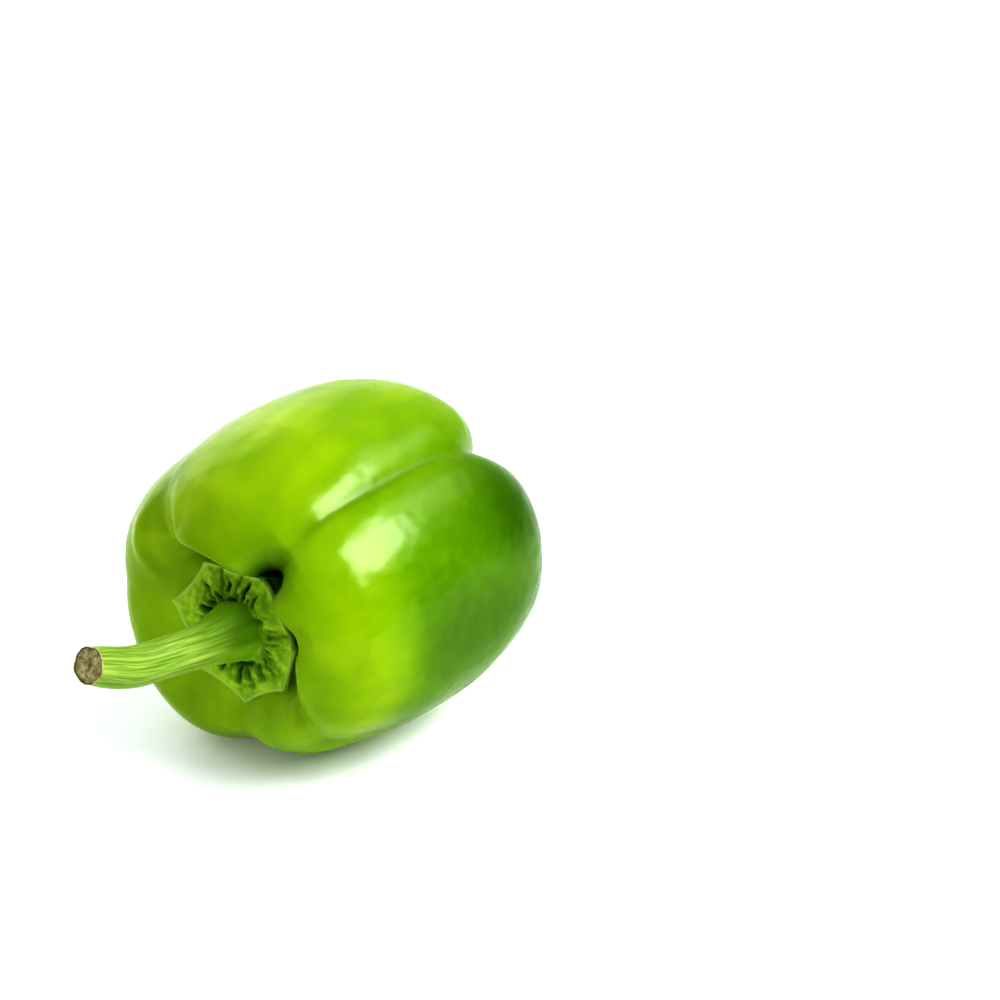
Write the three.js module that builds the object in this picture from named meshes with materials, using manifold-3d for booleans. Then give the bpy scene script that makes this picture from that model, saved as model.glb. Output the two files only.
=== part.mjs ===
// A green bell pepper lying on its side: the fruit, the star-shaped calyx on its stem end, and the cut stem.
// Millimetres, +Z up. The stem points to -Y and the blossom end to +Y. The pepper lies on the plane z = 0.
import * as THREE from 'three';
import { mergeVertices } from 'three/addons/utils/BufferGeometryUtils.js';
import Module from 'manifold-3d';

const wasm = await Module();
wasm.setup();

// Driving dimensions of the fruit. Angles are in degrees round its axis, seen from the stem:
// 0 points to +X and 90 points up. Reaches are measured from the axis, ends along it.
const fruitSquareness = 2.6; // power of the outline from end to end: 2 is round, more is boxier
const stemEndPower = 2.5;
const blossomEndPower = 3.2;
const lobeGrip = 3.5; // how closely each lobe keeps to its own angle
const poleHeight = 35; // the floor under the calyx
const navelHeight = 42; // the bottom of the dimple in the blossom end
const navelShare = 0.4;
const navelPower = 2.5;
const lobes = [
  { crest: 92, shoulder: 48, waist: 50, toe: 49, stemEnd: 54, blossomEnd: 51, pit: 0.465, pitPower: 12 },
  { crest: -3, shoulder: 44, waist: 44, toe: 46, stemEnd: 52, blossomEnd: 53, pit: 0.52, pitPower: 8 },
  { crest: -72, shoulder: 41, waist: 40.3, toe: 40, stemEnd: 49, blossomEnd: 50, pit: 0.58, pitPower: 3 },
  { crest: -152, shoulder: 54, waist: 46, toe: 40, stemEnd: 50, blossomEnd: 51, pit: 0.62, pitPower: 3 },
  { crest: 163, shoulder: 52.5, waist: 49, toe: 45, stemEnd: 50, blossomEnd: 51, pit: 0.58, pitPower: 3 },
];
const reachStations = [0.28, 0.5, 0.78]; // where shoulder, waist and toe hold, from stem 0 to blossom 1

// The grooves between the lobes. Each wanders a little on its way and is deepest at the ends.
const grooves = [
  { at: [127, 131, 129], deep: [6, 2.8, 0.7, 5], wide: [9, 10, 12], soft: 3 },
  { at: [54, 57, 57], deep: [18, 2.6, 3.4, 9], wide: [8, 9, 8], soft: 1.5 },
  { at: [-20, -52, -50], deep: [6, 3, 1.2, 5], wide: [9, 11, 13], soft: 3 },
  { at: [-86, -95, -98], deep: [2.2, 3.8, 1.5, 4], wide: [10, 14, 15], soft: 8 },
  { at: [176, 178, 178], deep: [0.5, 1.5, 1.2, 4], wide: [12, 14, 15], soft: 3 },
];
const lineStations = [0.1, 0.35, 0.8];
const depthStations = [0.14, 0.26, 0.5, 0.82];
const grooveStart = [0.34, 0.48]; // share of the reach where a groove sets in on the stem end
const blossomGrooveStart = [0.08, 0.4];

// Small flat spots on the underside, where the soft lobes bear on the surface
const restFlat = 0.6;

// The calyx: seven pointed sepals grown together in a flat, folded star
const clearance = 0.3;
const sepals = [
  { at: -136, tip: 19.3 },
  { at: -79, tip: 18 },
  { at: -34, tip: 19.2 },
  { at: 2, tip: 18.6 },
  { at: 62, tip: 19 },
  { at: 124, tip: 19.4 },
  { at: 171, tip: 20.8 },
];
const sepalSag = 0.7; // how far the edge between two tips curves in from a straight line
const calyxEdge = 1.2;
const calyxSwell = 1.8;
const swellAt = 11;
const swellWide = 3.2;
const seatRadius = 8.4; // the flat in the middle that the stem stands on
const seatHeight = 1.8;
const foldsPerSepal = 3;
const foldSpacing = 15;
const foldDepth = 0.8;
const foldWide = 1.5;

// The stem: swollen at its foot, ribbed along, and bending up a little to its cut end
const stemLength = 51;
const stemLift = 10.8;
const stemOffset = 0.8;
const stemRadius = 4.9;
const footRadius = 7.6;
const footLength = 9;
const tipPinch = 0.5;
const tipPinchLength = 4;
const stemRibs = [
  { count: 5, rise: 0.28, turn: 0.4 },
  { count: 8, rise: 0.16, turn: 1.9 },
];

// Mesh fineness
const fruitColumns = 60;
const fruitRows = 44;
const calyxColumns = 120;
const calyxRows = 14;
const stemColumns = 30;
const stemRows = 20;

const skin = new THREE.MeshStandardMaterial({ color: 0x6fae0a, roughness: 0.25, metalness: 0 });
const sepalGreen = new THREE.MeshStandardMaterial({ color: 0x4f8318, roughness: 0.6, metalness: 0 });
const stemGreen = new THREE.MeshStandardMaterial({ color: 0x8fb32f, roughness: 0.5, metalness: 0 });

const radians = THREE.MathUtils.degToRad;
const ease = (from, to, x) => THREE.MathUtils.smoothstep(x, from, to);

// The value at x of a quantity that eases from one station to the next
function along(x, stations, values) {
  let value = values[0];
  for (let i = 1; i < stations.length; i += 1) {
    value += (values[i] - values[i - 1]) * ease(stations[i - 1], stations[i], x);
  }
  return value;
}

// Distance between two angles, from -pi to pi
function turnBetween(a, b) {
  return Math.atan2(Math.sin(a - b), Math.cos(a - b));
}

// A ridge profile round zero: pointed, but rounded off within `soft`
function cusp(distance, soft, wide) {
  return Math.exp(-(Math.hypot(distance, soft) - soft) / wide);
}

// Each lobe's weight at an angle, and the weighted mean of one of its dimensions
function lobeMix(angle) {
  const weights = lobes.map((lobe) => Math.exp(lobeGrip * (Math.cos(angle - radians(lobe.crest)) - 1)));
  const total = weights.reduce((sum, weight) => sum + weight, 0);
  return (key) => lobes.reduce((sum, lobe, i) => sum + (weights[i] * lobe[key]) / total, 0);
}

// Height of an end along the axis, at a share of the reach: a superellipse with a pit sunk down to its pole
function endHeight(share, power, rim, pole, pit, pitPower) {
  const rise = Math.max(0, 1 - share ** fruitSquareness) ** (1 / power);
  return rim * rise - (rim - pole) * Math.exp(-((share / pit) ** pitPower));
}

function stemSide(share, mix) {
  return endHeight(share, stemEndPower, mix('stemEnd'), poleHeight, mix('pit'), mix('pitPower'));
}

function blossomSide(share, mix) {
  return -endHeight(share, blossomEndPower, mix('blossomEnd'), navelHeight, navelShare, navelPower);
}

// The fruit's skin at an angle round the axis and at v, from the stem pole 0 to the blossom pole 1.
// Returns the distance from the axis and the height along it, with the grooves pressed in along the normal.
function fruitPoint(angle, v) {
  const turn = Math.PI * (0.5 - v);
  const cosine = Math.abs(Math.cos(turn));
  const sine = Math.sin(turn);
  const mix = lobeMix(angle);
  const share = cosine ** (2 / fruitSquareness);
  let radius = along(v, reachStations, [mix('shoulder'), mix('waist'), mix('toe')]) * share;
  let height = sine > 0 ? stemSide(share, mix) : blossomSide(share, mix);

  const endPower = sine > 0 ? stemEndPower : blossomEndPower;
  const outward = new THREE.Vector2(
    cosine ** (2 - 2 / fruitSquareness) / mix('waist'),
    (Math.sign(sine) * Math.abs(sine) ** (2 - 2 / endPower)) / mix('stemEnd'),
  ).normalize();
  const start = sine > 0 ? grooveStart : blossomGrooveStart;
  for (const groove of grooves) {
    const line = radians(along(v, lineStations, groove.at));
    const wide = radians(along(v, lineStations, groove.wide));
    const profile = cusp(turnBetween(angle, line), radians(groove.soft), wide);
    const depth = along(v, depthStations, groove.deep) * ease(...start, share) * profile;
    radius -= depth * outward.x;
    height -= depth * outward.y;
  }
  return [radius, height];
}

// A point from its angle round the axis, its distance from it and its height towards the stem
function around(angle, radius, height) {
  return new THREE.Vector3(radius * Math.cos(angle), -height, radius * Math.sin(angle));
}

// Radius of the calyx's edge: close to a straight line from the sepal's tip last passed to the next one
function calyxReach(angle) {
  const fullTurn = 2 * Math.PI;
  const turns = sepals.map((sepal) => THREE.MathUtils.euclideanModulo(angle - radians(sepal.at), fullTurn));
  const into = Math.min(...turns);
  const passed = turns.indexOf(into);
  const here = sepals[passed];
  const next = sepals[(passed + 1) % sepals.length];
  const span = THREE.MathUtils.euclideanModulo(radians(next.at - here.at), fullTurn);
  const spread = here.tip * Math.sin(into) + next.tip * Math.sin(span - into);
  const straight = (here.tip * next.tip * Math.sin(span)) / spread;
  const share = into / span;
  return straight - sepalSag * 4 * share * (1 - share);
}

// The pit's floor under the calyx
function floorHeight(angle, radius) {
  const mix = lobeMix(angle);
  return stemSide(radius / mix('shoulder'), mix);
}

// Upper face of the calyx: a flat seat for the stem, a swollen ring round it, and folds that run outwards
function calyxHeight(angle, radius) {
  const swell = calyxSwell * Math.exp(-(((radius - swellAt) / swellWide) ** 2));
  let folds = 0;
  for (const sepal of sepals) {
    for (let i = 0; i < foldsPerSepal; i += 1) {
      const line = radians(sepal.at + (i - (foldsPerSepal - 1) / 2) * foldSpacing + foldSpacing / 2);
      const across = turnBetween(angle, line) * radius;
      folds += foldDepth * Math.exp(-((across / foldWide) ** 2));
    }
  }
  const foldReach = ease(seatRadius, seatRadius + 2, radius) * (1 - ease(0.8, 1, radius / calyxReach(angle)));
  const skinHeight = floorHeight(angle, radius) + calyxEdge + swell - folds * foldReach;
  const seat = poleHeight + seatHeight;
  return THREE.MathUtils.lerp(seat, skinHeight, ease(seatRadius, seatRadius + 1.2, radius));
}

// Moves each vertex of a closed geometry to a place worked out from where it was, and welds the seams
function reshape(geometry, move) {
  const position = geometry.getAttribute('position');
  const uv = geometry.getAttribute('uv');
  const point = new THREE.Vector3();
  for (let i = 0; i < position.count; i += 1) {
    point.fromBufferAttribute(position, i);
    const moved = move(point, uv.getX(i), uv.getY(i));
    position.setXYZ(i, moved.x, moved.y, moved.z);
  }
  geometry.deleteAttribute('normal');
  geometry.deleteAttribute('uv');
  return mergeVertices(geometry, 1e-4);
}

function toSolid(geometry) {
  return new wasm.Manifold(
    new wasm.Mesh({
      numProp: 3,
      vertProperties: geometry.getAttribute('position').array,
      triVerts: new Uint32Array(geometry.getIndex().array),
    }),
  );
}

function toGeometry(solid) {
  const mesh = solid.getMesh();
  const geometry = new THREE.BufferGeometry();
  geometry.setAttribute('position', new THREE.BufferAttribute(mesh.vertProperties, 3));
  geometry.setIndex(new THREE.BufferAttribute(mesh.triVerts, 1));
  return geometry;
}

// A sphere's rows run from pole to pole, so its uv is the fruit's angle and its place from stem to blossom.
// The rows lie closer on the stem end, where the pit and the shoulders turn.
function fruitGeometry() {
  const sphere = new THREE.SphereGeometry(1, fruitColumns, fruitRows);
  return reshape(sphere, (point, u, v) => {
    const row = 1 - v;
    const angle = 2 * Math.PI * (u % 1);
    return around(angle, ...fruitPoint(angle, 0.72 * row + 0.28 * row * row));
  });
}

// A sphere pressed flat: its upper half is the calyx's face and its lower half lies on the pit's floor.
// The row next to each pole is the rim of the stem's seat, and the others spread from there to the edge.
function calyxGeometry() {
  const sphere = new THREE.SphereGeometry(1, calyxColumns, calyxRows);
  const seatRow = 2 / calyxRows;
  return reshape(sphere, (point, u, v) => {
    const row = 1 - v;
    const angle = 2 * Math.PI * (u % 1);
    const outward = 2 * Math.min(row, 1 - row);
    const beyond = Math.max(0, outward - seatRow) / (1 - seatRow);
    const radius = THREE.MathUtils.lerp(seatRadius * Math.min(1, outward / seatRow), calyxReach(angle), beyond);
    const height = row < 0.5 ? calyxHeight(angle, radius) : floorHeight(angle, radius);
    return around(angle, radius, height + clearance);
  });
}

// A cylinder bent along the stem's line, its radius following the foot, the shaft and the cut end
function stemGeometry() {
  const cylinder = new THREE.CylinderGeometry(1, 1, 1, stemColumns, stemRows);
  const foot = poleHeight + seatHeight + 2 * clearance;
  return reshape(cylinder, (point) => {
    const share = point.y + 0.5;
    const length = stemLength * share;
    const angle = Math.atan2(-point.z, point.x);
    const swell = (footRadius - stemRadius) * Math.exp(-((length / footLength) ** 1.6));
    const pinch = tipPinch * Math.exp(-(((stemLength - length) / tipPinchLength) ** 2));
    const ribs = stemRibs.reduce((sum, rib) => sum + rib.rise * Math.cos(rib.count * angle + rib.turn), 0);
    const radius = (stemRadius + swell - pinch + ribs) * Math.hypot(point.x, point.z);
    const slope = Math.atan((2 * stemLift * share) / stemLength);
    const across = radius * Math.sin(angle);
    return new THREE.Vector3(
      radius * Math.cos(angle),
      -(foot + length - across * Math.sin(slope)),
      stemOffset + stemLift * share * share + across * Math.cos(slope),
    );
  });
}

const rawFruit = fruitGeometry();
rawFruit.computeBoundingBox();
const restPlane = rawFruit.boundingBox.min.z + restFlat;

// What lies below the rest plane is cut off, which leaves the flat spots
const below = new THREE.BoxGeometry(200, 200, 40).translate(0, 0, restPlane - 20);
below.deleteAttribute('normal');
below.deleteAttribute('uv');
const fruitSolid = toSolid(rawFruit).subtract(toSolid(mergeVertices(below)));

const fruit = new THREE.Mesh(toGeometry(fruitSolid), skin);
fruit.name = 'fruit';
const calyx = new THREE.Mesh(calyxGeometry(), sepalGreen);
calyx.name = 'calyx';
const stem = new THREE.Mesh(stemGeometry(), stemGreen);
stem.name = 'stem';

const pepper = new THREE.Group();
pepper.add(fruit, calyx, stem);

// The origin is under the middle of the pepper, on the surface
const box = new THREE.Box3().setFromObject(pepper);
const middle = box.getCenter(new THREE.Vector3());
pepper.position.set(-middle.x, -middle.y, -box.min.z);

export default pepper;
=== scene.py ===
import bpy
import numpy as np
from mathutils import Matrix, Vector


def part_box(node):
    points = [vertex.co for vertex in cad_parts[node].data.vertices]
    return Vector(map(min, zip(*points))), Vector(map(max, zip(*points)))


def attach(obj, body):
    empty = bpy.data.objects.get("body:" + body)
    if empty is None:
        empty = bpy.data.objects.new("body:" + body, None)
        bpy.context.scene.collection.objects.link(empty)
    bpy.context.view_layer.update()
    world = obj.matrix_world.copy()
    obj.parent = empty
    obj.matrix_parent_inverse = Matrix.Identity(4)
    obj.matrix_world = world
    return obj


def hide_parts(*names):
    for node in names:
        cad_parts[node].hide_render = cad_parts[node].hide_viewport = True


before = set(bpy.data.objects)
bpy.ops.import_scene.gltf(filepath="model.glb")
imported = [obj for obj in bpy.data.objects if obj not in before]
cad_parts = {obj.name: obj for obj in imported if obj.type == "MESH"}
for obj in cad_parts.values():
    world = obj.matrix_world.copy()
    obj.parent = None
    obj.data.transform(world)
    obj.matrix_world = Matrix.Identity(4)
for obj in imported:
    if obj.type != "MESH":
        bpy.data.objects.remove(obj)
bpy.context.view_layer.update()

# A green bell pepper lying on its side. The forms are worked out in millimetres, with the fruit's axis
# as the Y axis and the stem towards -Y, then moved to where the frame has the fruit, in metres.
mm = 0.001


# Small tools for the forms

def ease(start, end, x):
    # 0 before start, 1 after end and a smooth step between: 3 t^2 - 2 t^3
    t = np.clip((x - start) / (end - start), 0, 1)
    return t * t * (3 - 2 * t)


def along(x, stations, values):
    # the value at x of a quantity that eases from one station to the next
    value = values[0] + 0 * x
    for before, after, low, high in zip(stations, stations[1:], values, values[1:]):
        value = value + (high - low) * ease(before, after, x)
    return value


def turnBetween(a, b):
    # the turn from one angle to another in radians, from -pi to pi
    return np.angle(np.exp(1j * (a - b)))


def bump(distance, wide):
    # a bell curve: exp(-(distance / wide)^2)
    return np.exp(-(distance / wide) ** 2)


def turnBump(angle, at, spread):
    # a bell curve round the axis: at is in degrees, angle and spread are in radians
    return bump(turnBetween(angle, np.radians(at)), spread)


def cusp(distance, soft, wide):
    # a ridge profile round zero: exp(-distance / wide), with its point rounded off within soft
    return np.exp(-(np.hypot(distance, soft) - soft) / wide)


def waves(points, lengths, height, count, seed):
    # the sum of plane waves that run in random directions through space, so it has no seam:
    # height / sqrt(count) * sum of sin(2 pi (direction . point) / length + phase)
    rng = np.random.default_rng(seed)
    total = np.zeros(points.shape[:-1])
    for _ in range(count):
        direction = rng.normal(size=3)
        direction /= np.linalg.norm(direction)
        length = rng.uniform(*lengths)
        phase = rng.uniform(0, 2 * np.pi)
        total += np.sin(2 * np.pi * (points @ direction) / length + phase)
    return height * total / np.sqrt(count)


def around(angle, radius, height):
    # a point from its angle round the axis, its distance from it and its height towards the stem
    return np.stack([radius * np.cos(angle), -height, radius * np.sin(angle)], -1)


def gridNormals(points):
    # unit normals of a grid that is closed round its columns: the cross product of the steps
    # along and round, each taken between the neighbours on both sides
    aroundStep = np.roll(points, -1, 1) - np.roll(points, 1, 1)
    alongStep = np.gradient(points, axis=0)
    normals = np.cross(alongStep, aroundStep)
    return normals / (np.linalg.norm(normals, axis=-1, keepdims=True) + 1e-12)


def makePiece(name, points, body="root", attributes=None):
    # puts a grid of points (rows, columns, 3) into a closed mesh: it closes on itself round the columns,
    # and its first and last rows each shrink to one point. attributes are grids of one value a point.
    rows, columns, _ = points.shape
    inner = rows - 2
    flat = np.concatenate([points[1:-1].reshape(-1, 3), points[:1, 0], points[-1:, 0]]) * mm
    row, column = np.meshgrid(np.arange(inner - 1), np.arange(columns), indexing="ij")
    after = (column + 1) % columns
    quads = np.stack([row * columns + column, (row + 1) * columns + column,
                      (row + 1) * columns + after, row * columns + after], -1).reshape(-1, 4)
    ring = np.arange(columns)
    nextRing = (ring + 1) % columns
    lastRow = (inner - 1) * columns
    first = np.stack([np.full(columns, inner * columns), ring, nextRing], -1)
    last = np.stack([np.full(columns, inner * columns + 1), lastRow + nextRing, lastRow + ring], -1)
    mesh = bpy.data.meshes.new(name)
    mesh.from_pydata(flat.tolist(), [], quads.tolist() + first.tolist() + last.tolist())
    mesh.shade_smooth()
    for key, grid in (attributes or {}).items():
        values = np.concatenate([grid[1:-1].reshape(inner * columns, -1),
                                 grid[:1, 0].reshape(1, -1), grid[-1:, 0].reshape(1, -1)])
        kind = "FLOAT" if values.shape[1] == 1 else "FLOAT_VECTOR"
        layer = mesh.attributes.new(key, kind, "POINT")
        layer.data.foreach_set("value" if kind == "FLOAT" else "vector", values.ravel().astype(np.float32))
    mesh.update()
    piece = bpy.data.objects.new(name, mesh)
    bpy.context.scene.collection.objects.link(piece)
    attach(piece, body)
    return piece


# Fruit. Angles are in degrees round the axis, seen from the stem: 0 points to +X and 90 points up.
# Reaches are measured from the axis and ends along it, v runs from the stem's pole 0 to the blossom's 1.
fruitForm = {
    "squareness": 2.6,           # power of the outline from end to end: 2 is round, more is boxier
    "stemEndPower": 2.5,
    "blossomEndPower": 3.2,
    "lobeGrip": 3.5,             # how closely each lobe keeps to its own angle
    "poleHeight": 35.0,          # the floor under the calyx
    "navelHeight": 42.0,         # the bottom of the dimple in the blossom end
    "navelShare": 0.4,
    "navelPower": 2.5,
    # crest in degrees, reaches at three stations and rims of both ends in mm, and the pit's edge as a
    # share of the reach, with the power that makes its side steep
    "lobes": [
        dict(crest=92, shoulder=48, waist=50, toe=49, stemEnd=54, blossomEnd=51, pit=0.465, pitPower=12),
        dict(crest=-3, shoulder=44, waist=44, toe=46, stemEnd=52, blossomEnd=53, pit=0.52, pitPower=8),
        dict(crest=-72, shoulder=41, waist=40.3, toe=40, stemEnd=49, blossomEnd=50, pit=0.58, pitPower=3),
        dict(crest=-152, shoulder=54, waist=46, toe=40, stemEnd=50, blossomEnd=51, pit=0.62, pitPower=3),
        dict(crest=163, shoulder=52.5, waist=49, toe=45, stemEnd=50, blossomEnd=51, pit=0.58, pitPower=3),
    ],
    "reachStations": (0.28, 0.5, 0.78),
    # angle and width in degrees at three stations, depth in mm at four, how far its bottom is rounded in
    # degrees and how dark its painted shade is, from 0 to 1
    "grooves": [
        dict(at=(127, 131, 129), deep=(6, 2.8, 0.7, 5), wide=(9, 10, 12), soft=3, dark=0.25),
        dict(at=(54, 57, 57), deep=(18, 2.6, 3.4, 9), wide=(8, 9, 8), soft=1.5, dark=0.5),
        dict(at=(-20, -52, -50), deep=(6, 3, 1.2, 5), wide=(9, 11, 13), soft=3, dark=0.4),
        dict(at=(-86, -95, -98), deep=(2.2, 3.8, 1.5, 4), wide=(10, 14, 15), soft=8, dark=0.25),
        dict(at=(176, 178, 178), deep=(0.5, 1.5, 1.2, 4), wide=(12, 14, 15), soft=3, dark=0.3),
    ],
    "lineStations": (0.1, 0.35, 0.8),
    "depthStations": (0.14, 0.26, 0.5, 0.82),
    "stemGrooveStart": (0.34, 0.48),         # shares of the reach over which a groove begins
    "blossomGrooveStart": (0.08, 0.4),
    "grooveFull": 5.0,           # depth in mm at which a groove's painted shade is darkest
    "creaseFull": 3.0,           # the same for the painted dark crease line along its bottom
    "creaseNarrow": 5,           # the crease is the groove's profile to this power
    # folds beside the grooves: angle in degrees at both ends, where along v, rise in mm, width in degrees
    "folds": [
        dict(at=(17, 17), between=(0.06, 0.22), rise=-3.5, wide=8.0),
        dict(at=(54, 54), between=(0.08, 0.22), rise=-2.5, wide=6.0),
        dict(at=(82, 82), between=(0.24, 0.62), rise=-0.5, wide=10.0),
        dict(at=(162, 131), between=(0.10, 0.36), rise=1.1, wide=5.5),
        dict(at=(172, 168), between=(0.12, 0.32), rise=-0.35, wide=5.0),
        dict(at=(113, 108), between=(0.14, 0.30), rise=-0.35, wide=4.0),
        dict(at=(-104, -108), between=(0.10, 0.30), rise=-0.35, wide=4.0),
    ],
    "foldBegins": 0.06,          # the share of v over which a fold reaches its rise
    "foldHolds": 0.08,           # and after which it starts to fade
    "corner": dict(at=8, spread=0.75, v=0.335, wide=0.045, rise=0.7),   # the right lobe's firm front edge
    "inset": 0.30,               # keeps the fine skin inside the coarser frame
    "dents": dict(lengths=(14, 50), height=0.26, count=26, seed=4),
    "ripples": dict(lengths=(3, 8), height=0.042, count=40, seed=8),
    "calmStem": (0, 0.06),       # v over which this fine relief begins, and ends at the other pole
    "calmBlossom": (0.97, 1),
    "rowBend": 0.2,              # brings rows closer on the stem end, where the pit turns
    "columns": 384,
    "rows": 236,
}


def lobeMix(angle):
    # each lobe's weight is exp(grip (cos(angle - crest) - 1)): returns the weighted mean of a dimension
    lobes = fruitForm["lobes"]
    turns = [angle - np.radians(lobe["crest"]) for lobe in lobes]
    weights = [np.exp(fruitForm["lobeGrip"] * (np.cos(turn) - 1)) for turn in turns]
    total = sum(weights)
    return lambda key: sum(weight * lobe[key] for weight, lobe in zip(weights, lobes)) / total


def endHeight(share, power, rim, pole, pit, pitPower):
    # height of an end at a share of the reach: a superellipse, less a pit that sinks to the pole
    rise = np.clip(1 - share ** fruitForm["squareness"], 0, 1) ** (1 / power)
    return rim * rise - (rim - pole) * np.exp(-(share / pit) ** pitPower)


def stemSide(share, mix):
    # the end with the calyx's pit
    return endHeight(share, fruitForm["stemEndPower"], mix("stemEnd"), fruitForm["poleHeight"],
                     mix("pit"), mix("pitPower"))


def blossomSide(share, mix):
    # the far end, with its dimple
    return -endHeight(share, fruitForm["blossomEndPower"], mix("blossomEnd"), fruitForm["navelHeight"],
                      fruitForm["navelShare"], fruitForm["navelPower"])


def fruitPoints(angle, v):
    # the outline from end to end is a superellipse whose reach depends on the angle, and each groove is
    # pressed in along its normal: returns the points, and how strongly each is painted with shade in a
    # groove, more where it lies deeper, and with the thin painted shade of the crease along its bottom, both
    # from 0 to 1
    form = fruitForm
    turn = np.pi * (0.5 - v)
    cosine, sine = np.abs(np.cos(turn)), np.sin(turn)
    mix = lobeMix(angle)
    share = cosine ** (2 / form["squareness"])
    radius = along(v, form["reachStations"], (mix("shoulder"), mix("waist"), mix("toe"))) * share
    height = np.where(sine > 0, stemSide(share, mix), blossomSide(share, mix))
    power = np.where(sine > 0, form["stemEndPower"], form["blossomEndPower"])
    outward = cosine ** (2 - 2 / form["squareness"]) / mix("waist")
    endward = np.sign(sine) * np.abs(sine) ** (2 - 2 / power) / mix("stemEnd")
    length = np.hypot(outward, endward) + 1e-9
    start = np.where(sine > 0, ease(*form["stemGrooveStart"], share),
                     ease(*form["blossomGrooveStart"], share))
    grooveShade = np.zeros_like(v)
    crease = np.zeros_like(v)
    for groove in form["grooves"]:
        line = np.radians(along(v, form["lineStations"], groove["at"]))
        wide = np.radians(along(v, form["lineStations"], groove["wide"]))
        profile = cusp(turnBetween(angle, line), np.radians(groove["soft"]), wide)
        depth = along(v, form["depthStations"], groove["deep"]) * start * profile
        radius = radius - depth * outward / length
        height = height - depth * endward / length
        # painted shade: darker the deeper the groove, with a thinner, darker painted shade along the crease
        # at its bottom
        grooveShade = np.maximum(grooveShade, np.clip(depth / form["grooveFull"], 0, 1) * profile * groove["dark"])
        thin = profile ** form["creaseNarrow"] * groove["dark"]
        crease = np.maximum(crease, np.clip(depth / form["creaseFull"], 0, 1) * thin)
    return around(angle, radius, height), grooveShade, crease


def buildFruit():
    # the form above, with folds, a firmer corner, dents and ripples raised along its normals
    form = fruitForm
    angle, row = np.meshgrid(np.linspace(0, 2 * np.pi, form["columns"], endpoint=False),
                             np.linspace(0, 1, form["rows"]))
    v = (1 - form["rowBend"]) * row + form["rowBend"] * row * row
    points, grooveShade, crease = fruitPoints(angle, v)
    normals = gridNormals(points)
    if np.sum(normals * points) < 0:
        normals = -normals
    relief = waves(points, **form["dents"]) + waves(points, **form["ripples"]) - form["inset"]
    for fold in form["folds"]:
        start, end = fold["between"]
        line = np.radians(along(v, fold["between"], fold["at"]))
        profile = bump(turnBetween(angle, line), np.radians(fold["wide"]))
        stretch = ease(start, start + form["foldBegins"], v) * (1 - ease(start + form["foldHolds"], end, v))
        relief = relief + fold["rise"] * profile * stretch
    corner = form["corner"]
    relief = relief + (corner["rise"] * bump(v - corner["v"], corner["wide"])
                       * turnBump(angle, corner["at"], corner["spread"]))
    poleCalm = ease(*form["calmStem"], v) * (1 - ease(*form["calmBlossom"], v))
    points = points + normals * (relief * poleCalm)[..., None]
    return points, dict(groove=grooveShade, crease=crease, v=v, angle=angle)


# Calyx: seven pointed sepals grown together in a flat, folded star on the pit's floor
calyxForm = {
    "sepals": [(-136, 19.3), (-79, 18.0), (-34, 19.2), (2, 18.6), (62, 19.0), (124, 19.4), (171, 20.8)],
    "sag": 0.7,                  # how far the edge between two tips curves in from a straight line
    "edge": 1.2,                 # how thick the leaf is
    "swell": 1.8,                # the ring round the stem: its rise, radius and width
    "swellAt": 11,
    "swellWide": 3.2,
    "seatRadius": 8.4,           # the flat seat under the stem
    "seatHeight": 1.8,
    "seatSlope": (-0.6, 1.2),    # from where to where, past the seat's edge, it climbs to the leaf
    "crevice": 1.3,              # the gap round the seat, how far past its edge it lies and how wide it is
    "creviceAt": 0.1,
    "creviceWide": 0.7,
    "creviceDark": 0.8,          # how wide the painted shade in it is
    "ring": dict(lengths=(4, 10), height=0.5, count=12, seed=21),     # how uneven the crevice is
    "ringMean": 0.45,
    "ringLeast": 0.25,
    "folds": dict(count=32, deep=(0.7, 2.2), wide=(0.30, 0.70), reach=(0.66, 1.15), seed=12),
    "foldJitter": 0.38,          # how unevenly the puckers are spread, as a share of their spacing
    "foldBend": 0.018,           # the most that one wanders, in radians a mm
    "foldSoft": 0.15,
    "foldWiden": (0.7, 0.5),     # a pucker's width at the seat, and what it gains towards the edge
    "foldFade": 0.20,            # the share of the leaf over which it fades
    "foldFrom": (-0.4, 1.6),     # from where to where, past the seat's edge, it begins
    # how strongly the puckers are painted with shade
    "foldDark": 1.25,
    "midrib": dict(rise=0.35, wide=0.7, between=(10, 13)),
    "lumps": dict(lengths=(2.2, 6.5), height=0.50, count=36, seed=3),
    "crumple": dict(lengths=(0.9, 2.4), height=0.14, count=40, seed=9),
    "calmEdge": (0.8, 1),        # the share of the leaf over which lumps and crumples end
    "lip": dict(rise=0.25, between=(0.93, 1.0)),
    "paleRim": (0.93, 0.99),
    "thinnest": 0.35,
    "under": 0.2,                # how far its underside sinks into the fruit
    "floorReach": 0.98,          # the share of the fruit's reach up to which that surface is worked out
    "columns": 480,
    "rows": 150,
}


def calyxReach(angle):
    # radius of the edge: close to the straight line from the tip last passed to the next one, which is
    # tip * next * sin(span) / (tip * sin(into) + next * sin(span - into)), less a sag of 4 t (1 - t)
    at = np.radians([at for at, _ in calyxForm["sepals"]])
    tip = np.array([tip for _, tip in calyxForm["sepals"]])
    turns = (angle[..., None] - at) % (2 * np.pi)
    into = turns.min(-1)
    passed = turns.argmin(-1)
    after = (passed + 1) % len(at)
    span = (at[after] - at[passed]) % (2 * np.pi)
    spread = tip[passed] * np.sin(into) + tip[after] * np.sin(span - into)
    share = into / span
    return tip[passed] * tip[after] * np.sin(span) / spread - calyxForm["sag"] * 4 * share * (1 - share)


def floorHeight(angle, radius):
    # the fruit's own surface in the pit, under the leaf
    mix = lobeMix(angle)
    return stemSide(np.clip(radius / mix("shoulder"), 0, calyxForm["floorReach"]), mix)


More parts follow.
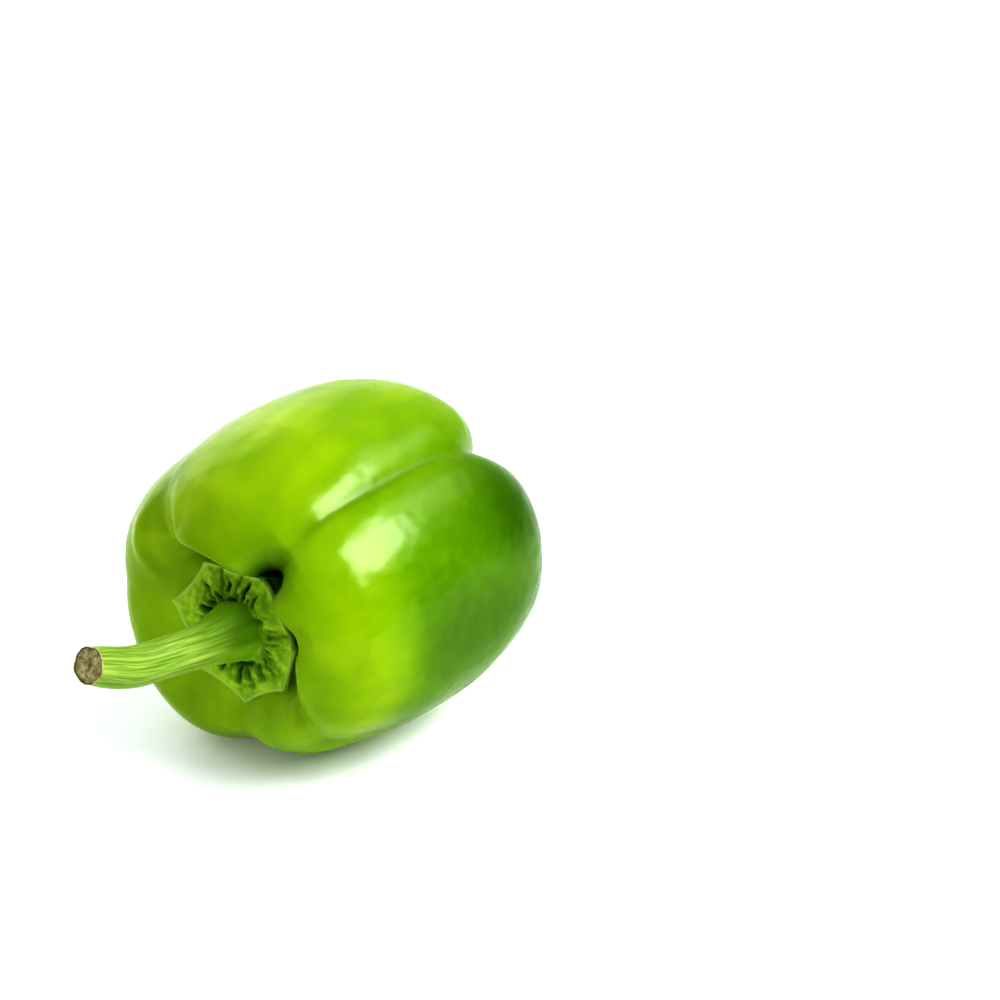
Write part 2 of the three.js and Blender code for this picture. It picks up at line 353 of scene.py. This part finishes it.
def calyxHeight(angle, radius):
    # a flat seat for the stem, a deep crevice round it, a swollen ring that falls to a thin edge, and
    # puckers: sharp valleys of random depth and reach that run outwards and wander a little
    form = calyxForm
    folds, midrib, lip = form["folds"], form["midrib"], form["lip"]
    share = radius / calyxReach(angle)
    pastSeat = radius - form["seatRadius"]
    rng = np.random.default_rng(folds["seed"])
    height = form["edge"] + form["swell"] * bump(radius - form["swellAt"], form["swellWide"])
    foldShade = np.zeros_like(radius)
    rise = ease(*form["foldFrom"], pastSeat)
    seatWide, widening = form["foldWiden"]
    for i in range(folds["count"]):
        at = 2 * np.pi * (i + rng.uniform(-form["foldJitter"], form["foldJitter"])) / folds["count"]
        bend = rng.uniform(-form["foldBend"], form["foldBend"])
        deep = rng.uniform(*folds["deep"])
        wide = rng.uniform(*folds["wide"])
        reach = rng.uniform(*folds["reach"])
        across = turnBetween(angle, at + bend * pastSeat) * radius
        fade = 1 - ease(reach - form["foldFade"], reach, share)
        fold = cusp(across, form["foldSoft"], wide * (seatWide + widening * share)) * rise * fade
        height = height - deep * fold
        foldShade = np.maximum(foldShade, fold * deep / folds["deep"][1])
    for at, _ in form["sepals"]:
        across = turnBetween(angle, np.radians(at)) * radius
        height = height + midrib["rise"] * bump(across, midrib["wide"]) * ease(*midrib["between"], radius)
    flat = around(angle, radius, 0 * radius)
    wrinkled = waves(flat, **form["lumps"]) + waves(flat, **form["crumple"])
    height = height + wrinkled * rise * (1 - ease(*form["calmEdge"], share))
    height = height + lip["rise"] * ease(*lip["between"], share)
    seat = form["seatHeight"] + fruitForm["poleHeight"]
    leaf = floorHeight(angle, radius) + np.maximum(height, form["thinnest"])
    seatEdge = around(angle, 0 * radius + form["seatRadius"], 0 * radius)
    uneven = np.clip(form["ringMean"] + waves(seatEdge, **form["ring"]), form["ringLeast"], 1)
    crevice = form["crevice"] * uneven * bump(pastSeat - form["creviceAt"], form["creviceWide"])
    # painted shade: darkest in the deepest puckers and in the crevice round the seat
    foldShade = np.maximum(form["foldDark"] * foldShade, uneven * bump(pastSeat, form["creviceDark"]))
    top = seat + (leaf - seat) * ease(*form["seatSlope"], pastSeat) - crevice
    return top, foldShade, share


def buildCalyx():
    # a grid that runs out from the middle over the top and back underneath
    form = calyxForm
    half = form["rows"] // 2
    outward = np.concatenate([np.linspace(0, 1, half), np.linspace(1, 0, half)])
    angle, share = np.meshgrid(np.linspace(0, 2 * np.pi, form["columns"], endpoint=False), outward)
    radius = calyxReach(angle) * share
    top, foldShade, share = calyxHeight(angle, radius)
    under = floorHeight(angle, radius) - form["under"]
    isTop = (np.arange(len(outward)) < half)[:, None]
    points = around(angle, radius, np.where(isTop, top, under))
    return points, dict(fold=np.where(isTop, foldShade, 0), share=share)


# Stem: swollen at its foot, ribbed along, and bending up a little to its cut end
stemForm = {
    "length": 51.0,
    "lift": 10.8,                # how far the tip bends up
    "offset": 0.8,
    "radius": 4.9,
    "footRadius": 7.6,
    "footLength": 9.0,
    "footPower": 1.6,
    "sunk": 0.4,                 # how deep the foot stands in the calyx
    "tipPinch": 0.5,
    "tipPinchLength": 4.0,
    "dip": 1.1,                  # how far it hangs before its tip turns up
    "dipAt": 0.74,
    "dipWide": 0.20,
    "ribs": [(5, 0.28, 0.4), (8, 0.16, 1.9), (13, 0.07, 0.3), (21, 0.04, 1.1)],   # count, rise, turn
    "twist": 0.25,               # how far the ribs turn along the stem, each kind by 0, 1 or 2 times this
    "ribsFade": 0.55,            # the share of their rise that they lose near the cut
    "ribsFadeAt": (0.88, 1.0),
    "hollow": 0.7,               # the cut face sinks by this, and has a rim
    "rim": dict(rise=0.25, at=0.9, wide=0.08),
    "rough": dict(lengths=(1.2, 4), height=0.10, count=24, seed=5),
    "roughFrom": (0, 0.2),
    "grainRadius": 5,            # mm, for the streaks that follow the stem
    "dryEdge": (0.985, 1.0),     # shares of the length over which the dry cut begins
    "footToneAndLight": (0.02, 0.35),   # and the greener foot, its own tone lightened as painted light, ends
    "brownRim": dict(share=0.9, at=0.98, wide=0.07),
    "brownPith": dict(share=0.5, at=0, wide=0.14),
    "columns": 160,
    "rows": 200,
    "capRows": 26,
}


def buildStem():
    # a profile carried along a parabola: the radius is a swollen foot, exp(-(s / footLength)^power), a
    # shaft with ribs, each a cosine round the angle, and a pinch before the cut end
    form = stemForm
    shaft = np.linspace(0, 1, form["rows"])
    caps = np.linspace(0, 1, form["capRows"])
    share = np.concatenate([np.zeros(form["capRows"]), shaft, np.ones(form["capRows"])])
    rim = np.concatenate([caps, np.ones(form["rows"]), caps[::-1]])
    inCut = np.concatenate([np.zeros(form["capRows"] + form["rows"]), np.ones(form["capRows"])])
    angle, share = np.meshgrid(np.linspace(0, -2 * np.pi, form["columns"], endpoint=False), share)
    rim, inCut = rim[:, None] + 0 * angle, inCut[:, None] + 0 * angle
    length = form["length"] * share
    foot = (form["footRadius"] - form["radius"]) * np.exp(-(length / form["footLength"]) ** form["footPower"])
    pinch = form["tipPinch"] * bump(form["length"] - length, form["tipPinchLength"])
    ribs = sum(rise * np.cos(count * angle + turn + form["twist"] * share * (count % 3))
               for count, rise, turn in form["ribs"])
    ribs = ribs * (1 - form["ribsFade"] * ease(*form["ribsFadeAt"], share))
    radius = (form["radius"] + foot - pinch + ribs) * rim
    # the cut end is a little hollow, with a rough dry face
    edge = form["rim"]
    hollow = inCut * (form["hollow"] * (1 - rim ** 2) + edge["rise"] * bump(rim - edge["at"], edge["wide"]))
    slope = np.arctan(2 * form["lift"] * share / form["length"])
    across = radius * np.sin(angle)
    base = fruitForm["poleHeight"] + calyxForm["seatHeight"] - form["sunk"]
    heightAlong = base + length - across * np.sin(slope) - hollow * np.cos(slope)
    dip = form["dip"] * bump(share - form["dipAt"], form["dipWide"])
    up = form["offset"] + form["lift"] * share ** 2 - dip + across * np.cos(slope) - hollow * np.sin(slope)
    points = np.stack([radius * np.cos(angle), -heightAlong, up], -1)
    points[..., 1] += waves(points, **form["rough"]) * inCut * ease(*form["roughFrom"], rim)
    grain = np.stack([np.cos(angle) * form["grainRadius"], np.sin(angle) * form["grainRadius"], length], -1)
    return points, dict(cut=inCut, share=share, rim=rim, grain=grain)


# Materials. Colours are sRGB hex values, turned to linear here. Pattern sizes are real ones in mm, and
# those too fine to show in the render are drawn coarser, as their comments say.

def linear(code):
    parts = np.array([int(code[i:i + 2], 16) for i in (1, 3, 5)]) / 255
    parts = np.where(parts <= 0.04045, parts / 12.92, ((parts + 0.055) / 1.055) ** 2.4)
    return (*parts, 1.0)


def addNode(tree, kind, output, inputs=None, **settings):
    # adds a node with its own settings. inputs are its sockets by name or number, each with a value or
    # a socket to link. Returns the output asked for, by name or number
    node = tree.nodes.new(kind)
    for key, value in settings.items():
        setattr(node, key, value)
    for key, value in (inputs or {}).items():
        if isinstance(value, bpy.types.NodeSocket):
            tree.links.new(value, node.inputs[key])
        else:
            node.inputs[key].default_value = value
    return node.outputs[output]


def newMaterial(name, shader):
    # a material with its shader's even values set, its tree and its shader
    material = bpy.data.materials.new(name)
    material.use_nodes = True
    principled = material.node_tree.nodes["Principled BSDF"]
    for key, value in shader.items():
        principled.inputs[key].default_value = value
    return material, material.node_tree, principled


def cloudy(tree, place, size, detail, noise, share):
    # a cloudy pattern with grains of size mm: it goes from the first share to the second where its noise
    # goes from the first value to the second
    grains = addNode(tree, "ShaderNodeTexNoise", "Fac",
                     {"Vector": place, "Scale": 1 / (size * mm), "Detail": detail})
    return addNode(tree, "ShaderNodeMapRange", "Result",
                   {"Value": grains, "From Min": noise[0], "From Max": noise[1],
                    "To Min": share[0], "To Max": share[1]})


def paint(tree, colour, layers):
    # lays colours over the first one in turn, each a hex value or a socket, as strongly as its share:
    # a socket, or the name of a value that the mesh has at each point
    base = linear(colour)
    for share, over in layers:
        if isinstance(share, str):
            share = addNode(tree, "ShaderNodeAttribute", "Fac", attribute_name=share)
        over = linear(over) if isinstance(over, str) else over
        base = addNode(tree, "ShaderNodeMix", 2, {0: share, 6: base, 7: over}, data_type="RGBA")
    return base


def pepperSkin():
    # the waxy cuticle of a fresh green pepper: a deep, slightly translucent yellow-green under a clear
    # gloss, with cloudy darker green, and so smooth that only its faint dimples roughen the highlights
    look = {
        "green": "#669200",
        # the skin's own yellower green, also laid on as painted light
        "yellowAndLight": "#a0bc00",
        "pale": "#b4dc10",       # its fine specks
        "deep": "#2a5000",       # painted shade, in the grooves and on the shaded side
        # painted black shade in the hollows
        "hollow": "#0c2606",
        "scar": "#8a7a48",       # dry, where the blossom was
        "cloud": dict(size=18, detail=3.0, noise=(0.35, 0.68), share=(0, 0.6)),
        "streak": dict(size=7, detail=4.0, noise=(0.40, 0.72), share=(0, 0.35)),
        "streakStretch": (1.0, 0.22, 1.0),   # streaks run along the fruit
        "mottle": dict(size=4.5, detail=3.0, noise=(0.3, 0.75), share=(0, 0.12)),
        "rough": dict(size=18, detail=2.0, noise=(0.3, 0.7), share=(0.24, 0.34)),
        "dimple": 1.6,
        "dimpleDepth": 0.06,
        "pore": 0.5,             # real pores are about 0.03, too fine to show, so drawn coarser
        "poreDepth": 0.03,
    }
    material, tree, principled = newMaterial("pepperSkin", {
        "IOR": 1.45, "Specular IOR Level": 0.05,         # most of its shine is the wax coat's
        "Coat Weight": 0.2, "Coat Roughness": 0.16, "Coat IOR": 1.5,
        "Subsurface Weight": 0.1, "Subsurface Radius": (0.5, 1.0, 0.05), "Subsurface Scale": 4 * mm})
    place = addNode(tree, "ShaderNodeTexCoord", "Object")
    lengthwise = addNode(tree, "ShaderNodeMapping", "Vector",
                         {"Vector": place, "Scale": look["streakStretch"]})
    # the skin's own tones, then painted light, painted shade, black painted shade in the hollows and the dry
    # scar
    base = paint(tree, look["green"], [
        ("toneAndLight", look["yellowAndLight"]),
        (cloudy(tree, place, **look["cloud"]), look["green"]),
        (cloudy(tree, lengthwise, **look["streak"]), look["green"]),
        (cloudy(tree, place, **look["mottle"]), look["pale"]),
        ("shade", look["deep"]),
        ("hollow", look["hollow"]),
        ("scar", look["scar"]),
    ])
    tree.links.new(base, principled.inputs["Base Color"])
    tree.links.new(cloudy(tree, place, **look["rough"]), principled.inputs["Roughness"])
    pores = addNode(tree, "ShaderNodeTexNoise", "Fac",
                    {"Vector": place, "Scale": 1 / (look["pore"] * mm), "Detail": 0.0})
    dimples = addNode(tree, "ShaderNodeTexNoise", "Fac",
                      {"Vector": place, "Scale": 1 / (look["dimple"] * mm), "Detail": 1.0})
    fine = addNode(tree, "ShaderNodeBump", "Normal",
                   {"Strength": 0.25, "Distance": look["poreDepth"] * mm, "Height": pores})
    skin = addNode(tree, "ShaderNodeBump", "Normal",
                   {"Strength": 0.5, "Distance": look["dimpleDepth"] * mm, "Height": dimples, "Normal": fine})
    tree.links.new(skin, principled.inputs["Normal"])
    tree.links.new(skin, principled.inputs["Coat Normal"])
    return material


def calyxLeaf():
    # the leathery green of a pepper's calyx: dull, with painted shade in its folds and round the stem's seat,
    # paler on its thin edge
    look = {
        "leaf": "#b4d446",
        "blotch": "#7ca616",
        # painted shade in the puckers and the crevice
        "fold": "#32560e",
        "rim": "#b0cc62",
        "blotches": dict(size=3, detail=4.0, noise=(0.3, 0.7), share=(0, 1)),
        "roughness": (0.45, 0.65),           # on the plain leaf and on its blotches
        "grain": 0.6,            # real leaf cells are about 0.05, so drawn coarser
        "grainDepth": 0.25,
    }
    material, tree, principled = newMaterial("calyxLeaf", {
        "IOR": 1.4, "Specular IOR Level": 0.2,
        "Subsurface Weight": 0.05, "Subsurface Radius": (0.5, 1.0, 0.1), "Subsurface Scale": 2 * mm})
    place = addNode(tree, "ShaderNodeTexCoord", "Object")
    blotches = cloudy(tree, place, **look["blotches"])
    base = paint(tree, look["leaf"], [
        (blotches, look["blotch"]),
        ("fold", look["fold"]),
        ("rim", look["rim"]),
    ])
    tree.links.new(base, principled.inputs["Base Color"])
    rough = addNode(tree, "ShaderNodeMapRange", "Result",
                    {"Value": blotches, "To Min": look["roughness"][0], "To Max": look["roughness"][1]})
    tree.links.new(rough, principled.inputs["Roughness"])
    grain = addNode(tree, "ShaderNodeTexNoise", "Fac",
                    {"Vector": place, "Scale": 1 / (look["grain"] * mm), "Detail": 3.0})
    leaf = addNode(tree, "ShaderNodeBump", "Normal",
                   {"Strength": 0.6, "Distance": look["grainDepth"] * mm, "Height": grain})
    tree.links.new(leaf, principled.inputs["Normal"])
    return material


def stemFlesh():
    # a fresh pepper stem: fibrous green with long paler streaks, even green at its foot, its own tone painted
    # lighter as painted light, and a dry, corky brown cut end with a darker rim
    look = {
        "flesh": "#6c9420",
        "pale": "#a2b85c",
        # the foot's own greener tone, painted lighter as painted light where it lies in shade
        "foot": "#8cb826",
        "cork": "#c4bc94",
        "dry": "#8e8458",
        "pit": "#5a4a22",
        # real cork cells are under 0.1, too fine to show, so drawn coarser
        "corky": dict(size=1.0, detail=4.0, noise=(0.35, 0.62), share=(0, 1)),
        "fibres": 1.7,           # to the mm round the stem
        "fibreStretch": (1.0, 1.0, 0.05),    # they are twenty times as long as wide
        "fibreNoise": (0.38, 0.66),
        "fibreDepth": 0.15,
        "roughness": (0.42, 0.85),           # of the flesh and of the dry cut
    }
    material, tree, principled = newMaterial("stemFlesh", {
        "IOR": 1.42, "Specular IOR Level": 0.2,
        "Subsurface Weight": 0.08, "Subsurface Radius": (0.5, 1.0, 0.1), "Subsurface Scale": 2 * mm})
    grain = addNode(tree, "ShaderNodeAttribute", "Vector", attribute_name="grain")
    stretched = addNode(tree, "ShaderNodeMapping", "Vector", {"Vector": grain, "Scale": look["fibreStretch"]})
    fibres = addNode(tree, "ShaderNodeTexNoise", "Fac",
                     {"Vector": stretched, "Scale": look["fibres"], "Detail": 4.0})
    streaks = addNode(tree, "ShaderNodeMapRange", "Result",
                      {"Value": fibres, "From Min": look["fibreNoise"][0], "From Max": look["fibreNoise"][1]})
    place = addNode(tree, "ShaderNodeTexCoord", "Object")
    cork = paint(tree, look["cork"], [
        (cloudy(tree, place, **look["corky"]), look["dry"]),
        ("brown", look["pit"]),
    ])
    base = paint(tree, look["flesh"], [
        (streaks, look["pale"]),
        ("foot", look["foot"]),
        ("cut", cork),
    ])
    tree.links.new(base, principled.inputs["Base Color"])
    cut = addNode(tree, "ShaderNodeAttribute", "Fac", attribute_name="cut")
    rough = addNode(tree, "ShaderNodeMapRange", "Result",
                    {"Value": cut, "To Min": look["roughness"][0], "To Max": look["roughness"][1]})
    tree.links.new(rough, principled.inputs["Roughness"])
    lines = addNode(tree, "ShaderNodeBump", "Normal",
                    {"Strength": 0.5, "Distance": look["fibreDepth"] * mm, "Height": streaks})
    tree.links.new(lines, principled.inputs["Normal"])
    return material


def whiteBoard():
    # matt white board lit a little from below, so plain that it only takes a soft, pale shadow
    return newMaterial("whiteBoard", {
        "Base Color": linear("#f2f4ff"), "Roughness": 0.8, "Specular IOR Level": 0.2,
        "Emission Color": (1, 1, 1, 1), "Emission Strength": 0.09})[0]


# The pieces

def dress(piece, node, material):
    piece.data.materials.append(material)
    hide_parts(node)


fruitPoint, fruitMarks = buildFruit()
boxLow, boxHigh = (np.array(corner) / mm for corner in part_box("fruit"))
fineLow, fineHigh = fruitPoint.min((0, 1)), fruitPoint.max((0, 1))
settling = dict(sink=0.6, endGap=0.15)      # how deep it sinks onto its flat spots, room at its far end
shift = np.array([(boxLow[0] + boxHigh[0] - fineLow[0] - fineHigh[0]) / 2,
                  boxHigh[1] - fineHigh[1] - settling["endGap"],
                  -(fineLow[2] + settling["sink"])])


def settle(points):
    # moves a form to the frame's place, and flattens what would sink into the surface
    points = points + shift
    points[..., 2] = np.maximum(points[..., 2], 0)
    return points


# Where the skin changes colour: its own tones and scar, with painted light, painted shade and black painted
# shade over them. Angles are in degrees, their spreads in radians, and places and widths along the fruit are
# in v, where an endless width means all along it
skinPatches = {
    "toneAndLight": 0.54,                 # how far the plain skin goes towards its own yellower green, from 0, green, to 1
    # painted light: patches painted yellower where light falls
    "yellowAndLight": [
        dict(more=0.40, at=-8, spread=0.6, v=0.325, wide=0.09),      # the front of the right lobe
        dict(more=0.40, at=165, spread=0.9, v=0.5, wide=np.inf),     # the left lobes
        dict(more=0.25, at=-90, spread=0.8, v=0.5, wide=np.inf),     # underneath
        dict(more=0.30, at=85, spread=0.4, v=0.42, wide=0.14),       # the middle of the top lobe
        dict(more=0.30, at=138, spread=0.3, v=0.22, wide=0.12),      # and its left shoulder
        dict(more=0.35, at=108, spread=0.35, v=0.30, wide=0.12),
    ],
    "green": dict(less=0.70, at=8, spread=0.9, between=(0.35, 0.46)),    # painted shade: less of the yellower green, so darker, from the right lobe's middle on
    "dark": [                    # painted shade on the right lobe's far side and, last, on its low side
        dict(share=0.68, at=-2, spread=0.52, between=(0.36, 0.50), fade=0.6),
        dict(share=0.92, at=30, spread=0.60, between=(0.42, 0.62), fade=0.6),
        dict(share=0.45, at=-32, spread=0.45, between=(0.30, 0.45), fade=0),
    ],
    "fadeBetween": (0.66, 0.92),
    # painted shade in the grooves and along their creases, and how dark all painted shade gets at most
    "groove": 0.85,
    "groovePower": 1.4,
    "crease": 0.8,
    "creaseFrom": (0.24, 0.34),
    "darkest": 0.9,
    "hollowShadows": [                 # painted black shade, where two lobes meet over the calyx and beside it
        dict(share=1.0, at=54, spread=np.radians(8), v=0.165, wide=0.04),
        dict(share=0.8, at=17, spread=np.radians(9), v=0.13, wide=0.03),
    ],
    "scar": (0.980, 0.992),
}


def skinMarks(angle, v, groove, crease):
    # how far each point takes the yellower tone and painted light, painted shade, black painted shade and the
    # scar, from 0 to 1: each patch is a bell curve round the axis times a bell curve, or a step, along it
    look, green = skinPatches, skinPatches["green"]
    toneAndLight = look["toneAndLight"] + 0 * v
    for spot in look["yellowAndLight"]:
        patch = spot["more"] * bump(v - spot["v"], spot["wide"])
        toneAndLight = toneAndLight + patch * turnBump(angle, spot["at"], spot["spread"])
    toneAndLight = toneAndLight - green["less"] * ease(*green["between"], v) * turnBump(angle, green["at"], green["spread"])
    shade = np.maximum(look["groove"] * groove ** look["groovePower"],
                       look["crease"] * crease * ease(*look["creaseFrom"], v))
    for spot in look["dark"]:
        patch = spot["share"] * ease(*spot["between"], v) * turnBump(angle, spot["at"], spot["spread"])
        shade = np.maximum(shade, patch * (1 - spot["fade"] * ease(*look["fadeBetween"], v)))
    hollow = 0 * v
    for spot in look["hollowShadows"]:
        patch = spot["share"] * bump(v - spot["v"], spot["wide"])
        hollow = np.maximum(hollow, patch * turnBump(angle, spot["at"], spot["spread"]))
    return {"shade": look["darkest"] * np.clip(shade, 0, 1), "toneAndLight": np.clip(toneAndLight, 0, 1),
            "hollow": hollow, "scar": ease(*look["scar"], v)}


fruit = makePiece("fruitSkin", settle(fruitPoint), attributes=skinMarks(**fruitMarks))
dress(fruit, "fruit", pepperSkin())
print("fruit:", len(fruit.data.polygons), "faces")

calyxPoint, calyxMarks = buildCalyx()
# fold holds the painted shade of the puckers and crevice
calyx = makePiece("calyxStar", settle(calyxPoint), attributes={
    "fold": np.clip(calyxMarks["fold"], 0, 1), "rim": ease(*calyxForm["paleRim"], calyxMarks["share"])})
dress(calyx, "calyx", calyxLeaf())
print("calyx:", len(calyx.data.polygons), "faces")

stemPoint, stemMarks = buildStem()
rimMark, pithMark = (mark["share"] * bump(stemMarks["rim"] - mark["at"], mark["wide"])
                     for mark in (stemForm["brownRim"], stemForm["brownPith"]))
brown = np.maximum(rimMark, pithMark) * stemMarks["cut"]
stem = makePiece("stemStalk", settle(stemPoint), attributes={
    "cut": np.maximum(stemMarks["cut"], ease(*stemForm["dryEdge"], stemMarks["share"])), "brown": brown,
    "foot": 1 - ease(*stemForm["footToneAndLight"], stemMarks["share"]), "grain": stemMarks["grain"]})
dress(stem, "stem", stemFlesh())
print("stem:", len(stem.data.polygons), "faces")


# Floor, light and camera

view = {
    "azimuth": 38.0,             # degrees round from where the stem points
    "elevation": 24.0,
    "distance": 750.0,           # from the fruit's centre, mm
    "pixelsPerMm": 3.9,          # at that distance, in an image of 1000 by 1000
    "fruitAt": (335, 582),       # where the centre of the fruit's axis lies in it
    "imageSize": 1000,
    "sensor": 36.0,
}
azimuth, elevation = np.radians(view["azimuth"]), np.radians(view["elevation"])
back = np.array([np.sin(azimuth) * np.cos(elevation),
                 -np.cos(azimuth) * np.cos(elevation),
                 np.sin(elevation)])
right = np.array([np.cos(azimuth), np.sin(azimuth), 0])
up = np.cross(back, right)


def seenFromCamera(aim):
    # the unit direction in space of one given as (right, up, towards the camera)
    direction = right * aim[0] + up * aim[1] + back * aim[2]
    return direction / np.linalg.norm(direction)


def placeFacing(thing, place, facing, upward):
    # puts a camera or lamp at place, in mm, looking along minus facing
    side = np.cross(upward, facing)
    side = side / np.linalg.norm(side)
    upward = np.cross(facing, side)
    columns = [[side[i], upward[i], facing[i], place[i] * mm] for i in range(3)]
    thing.matrix_world = Matrix(columns + [[0, 0, 0, 1]])


centre = view["imageSize"] / 2
camera = bpy.data.objects.new("camera", bpy.data.cameras.new("camera"))
bpy.context.scene.collection.objects.link(camera)
sideways = (view["fruitAt"][0] - centre) / view["pixelsPerMm"]
downwards = (view["fruitAt"][1] - centre) / view["pixelsPerMm"]
placeFacing(camera, shift + back * view["distance"] - right * sideways + up * downwards, back, up)
camera.data.sensor_width = view["sensor"]
camera.data.lens = view["sensor"] * view["pixelsPerMm"] * view["distance"] / view["imageSize"]
bpy.context.scene.camera = camera

floorSize = 8                    # metres
bpy.ops.mesh.primitive_plane_add(size=floorSize)
floor = bpy.context.object
floor.name = "floor"
floor.data.materials.append(whiteBoard())

# softboxes that face the fruit: where they stand as the camera sees it, their width and height in metres,
# their power, and how many times as strong they are mirrored
lampDistance = 900               # mm
lamps = {
    "keySoftbox": dict(aim=(0.70, 0.48, 0.53), size=(0.56, 0.44), watts=6.7, glint=3.6),
    "highSoftbox": dict(aim=(0.70, 0.68, 0.08), size=(0.50, 0.34), watts=1.0, glint=8.0),
    "rimSoftbox": dict(aim=(-0.45, 0.60, -0.66), size=(0.60, 0.40), watts=0.65, glint=9.0),
}
for name, box in lamps.items():
    facing = seenFromCamera(box["aim"])
    for mirrored in (False, True):           # two lamps in one place: one lights surfaces, one is mirrored
        lamp = bpy.data.lights.new(name, "AREA")
        lamp.shape = "RECTANGLE"
        lamp.size, lamp.size_y = box["size"]
        lamp.energy = box["watts"] * (box["glint"] if mirrored else 1)
        holder = bpy.data.objects.new(name + ("Glint" if mirrored else ""), lamp)
        holder.visible_glossy = mirrored
        holder.visible_diffuse = not mirrored
        bpy.context.scene.collection.objects.link(holder)
        placeFacing(holder, shift + facing * lampDistance, facing, np.array([0, 0, 1.0]))

# a white room: bright behind the fruit, where the sweep is, brightest overhead and to the left, where the
# light comes from, and dimmer to the right. Each part's light is added, and grows from the first value to
# the second as the cosine between its aim and where one looks goes from low to high
room = {
    "behind": dict(aim=(0, 0, -1), low=0.1, high=0.8, light=(0.24, 0.85)),
    "overhead": dict(aim=(-0.55, 0.80, 0.15), low=0.3, high=1.0, light=(0, 0.56)),
    "rightSide": dict(aim=(1, 0, 0), low=0.2, high=0.9, light=(0, -0.60)),
}
world = bpy.data.worlds.new("whiteRoom")
world.use_nodes = True
roomTree = world.node_tree
looking = addNode(roomTree, "ShaderNodeTexCoord", "Generated")
strength = 0.0
for part in room.values():
    nearness = addNode(roomTree, "ShaderNodeVectorMath", "Value",
                       {0: looking, 1: tuple(seenFromCamera(part["aim"]))}, operation="DOT_PRODUCT")
    light = addNode(roomTree, "ShaderNodeMapRange", "Result",
                    {"Value": nearness, "From Min": part["low"], "From Max": part["high"],
                     "To Min": part["light"][0], "To Max": part["light"][1]})
    strength = addNode(roomTree, "ShaderNodeMath", "Value", {0: strength, 1: light}, operation="ADD")
background = roomTree.nodes["Background"]
background.inputs["Color"].default_value = (1, 1, 1, 1)
roomTree.links.new(strength, background.inputs["Strength"])
bpy.context.scene.world = world
bpy.context.scene.view_settings.view_transform = "Standard"
bpy.context.scene.view_settings.look = "Very High Contrast"
print("stage ready")
